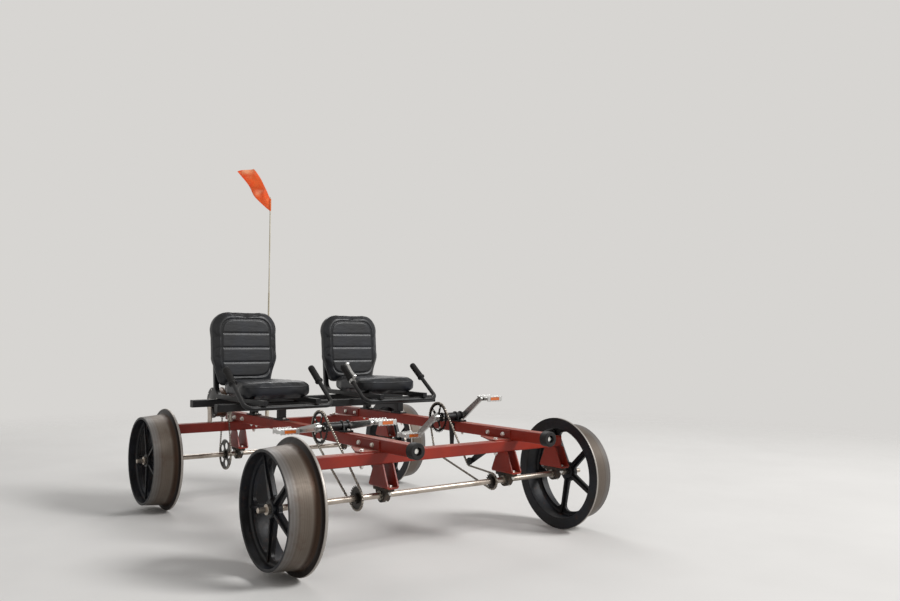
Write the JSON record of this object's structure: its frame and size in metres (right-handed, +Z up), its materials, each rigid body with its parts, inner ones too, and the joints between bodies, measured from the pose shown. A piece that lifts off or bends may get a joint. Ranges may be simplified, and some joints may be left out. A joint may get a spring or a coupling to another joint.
{
  "type": "pedal rail cart",
  "caption": "Flat open pedal cart on flanged rail wheels with side-by-side bucket seats, cranks chained to the axle and a red tube chassis",
  "frame": {"origin": "on the ground under the middle of the wheelbase, midway between the rails", "axes": "+X forward along the track, +Y to the left, +Z up"},
  "size_m": [2.065, 1.71, 1.9132],
  "materials": {
    "frame_paint": "red gloss paint, dusty and chipped",
    "bearing_iron": "dark painted cast iron",
    "bumper_rubber": "matte black rubber",
    "axle_steel": "turned bright steel bar",
    "wheel_iron": "black painted casting with worn bare tread",
    "chain_steel": "oiled steel",
    "black_steel": "satin black paint",
    "crank_alloy": "satin alloy",
    "pedal_alloy": "satin alloy cage",
    "seat_vinyl": "black vinyl, soft sheen",
    "motor_black": "satin black casting",
    "pole_plastic": "pale glass fibre",
    "flag_cloth": "orange nylon"
  },
  "bodies": {
    "frame": {"beam_left": "frame_paint", "beam_right": "frame_paint", "bearings": "bearing_iron", "bottom_bracket_left": "black_steel", "bottom_bracket_right": "black_steel", "brake_lever": "crank_alloy", "bumpers": "bumper_rubber", "chain_left": "chain_steel", "chain_rear": "chain_steel", "chain_right": "chain_steel", "corner_brackets": "frame_paint", "cross_beam_front": "frame_paint", "cross_beam_rear": "frame_paint", "flag": "flag_cloth", "flag_pole": "pole_plastic", "hand_bar_left": "black_steel", "hand_bar_right": "black_steel", "hangers_front_left": "frame_paint", "hangers_front_right": "frame_paint", "hangers_rear_left": "frame_paint", "hangers_rear_right": "frame_paint", "idlers": "black_steel", "motor_mount": "axle_steel", "seat_back_left": "seat_vinyl", "seat_back_right": "seat_vinyl", "seat_frame_front": "black_steel", "seat_frame_rear": "black_steel", "seat_pan_left": "seat_vinyl", "seat_pan_right": "seat_vinyl", "seat_rails": "black_steel"},
    "front_wheelset": {"axle_front": "axle_steel", "wheel_front_right": "wheel_iron", "wheel_front_left": "wheel_iron", "sprockets_front": "chain_steel"},
    "rear_wheelset": {"axle_rear": "axle_steel", "wheel_rear_right": "wheel_iron", "wheel_rear_left": "wheel_iron", "sprocket_rear": "chain_steel"},
    "crank_right": {"crankset_right": "crank_alloy"},
    "crank_left": {"crankset_left": "crank_alloy"},
    "motor_rotor": {"motor_drum": "motor_black"},
    "pedal_left_inner_body": {"pedal_left_inner": "pedal_alloy"},
    "pedal_left_outer_body": {"pedal_left_outer": "pedal_alloy"},
    "pedal_right_inner_body": {"pedal_right_inner": "pedal_alloy"},
    "pedal_right_outer_body": {"pedal_right_outer": "pedal_alloy"}
  },
  "joints": [
    {"name": "front_wheels_turn", "type": "hinge", "parent": "frame", "child": "front_wheelset", "pos_m": [0.765, 0, 0.2675], "axis": [0, 1, 0], "continuous": true},
    {"name": "rear_wheels_turn", "type": "hinge", "parent": "frame", "child": "rear_wheelset", "pos_m": [-0.765, 0, 0.2675], "axis": [0, 1, 0], "continuous": true},
    {"name": "motor_turn", "type": "hinge", "parent": "frame", "child": "motor_rotor", "pos_m": [-0.775, -0.418, 0.556], "axis": [0, 1, 0], "continuous": true},
    {"name": "crank_right_turn", "type": "hinge", "parent": "frame", "child": "crank_right", "pos_m": [0.445, -0.357, 0.5256], "axis": [0, 1, 0], "continuous": true},
    {"name": "pedal_right_outer_turn", "type": "hinge", "parent": "crank_right", "child": "pedal_right_outer_body", "pos_m": [0.28203, -0.509, 0.49979], "axis": [0, 1, 0], "continuous": true},
    {"name": "pedal_right_inner_turn", "type": "hinge", "parent": "crank_right", "child": "pedal_right_inner_body", "pos_m": [0.60797, -0.205, 0.55141], "axis": [0, 1, 0], "continuous": true},
    {"name": "crank_left_turn", "type": "hinge", "parent": "frame", "child": "crank_left", "pos_m": [0.345, 0.357, 0.5256], "axis": [0, 1, 0], "continuous": true},
    {"name": "pedal_left_outer_turn", "type": "hinge", "parent": "crank_left", "child": "pedal_left_outer_body", "pos_m": [0.48016, 0.509, 0.62024], "axis": [0, 1, 0], "continuous": true},
    {"name": "pedal_left_inner_turn", "type": "hinge", "parent": "crank_left", "child": "pedal_left_inner_body", "pos_m": [0.20984, 0.205, 0.43096], "axis": [0, 1, 0], "continuous": true}
  ],
  "couplings": [
    {"joint": "motor_turn", "follows": "rear_wheels_turn", "ratio": 2.5},
    {"joint": "crank_right_turn", "follows": "front_wheels_turn", "ratio": 0.66667},
    {"joint": "crank_left_turn", "follows": "front_wheels_turn", "ratio": 0.5}
  ]
}
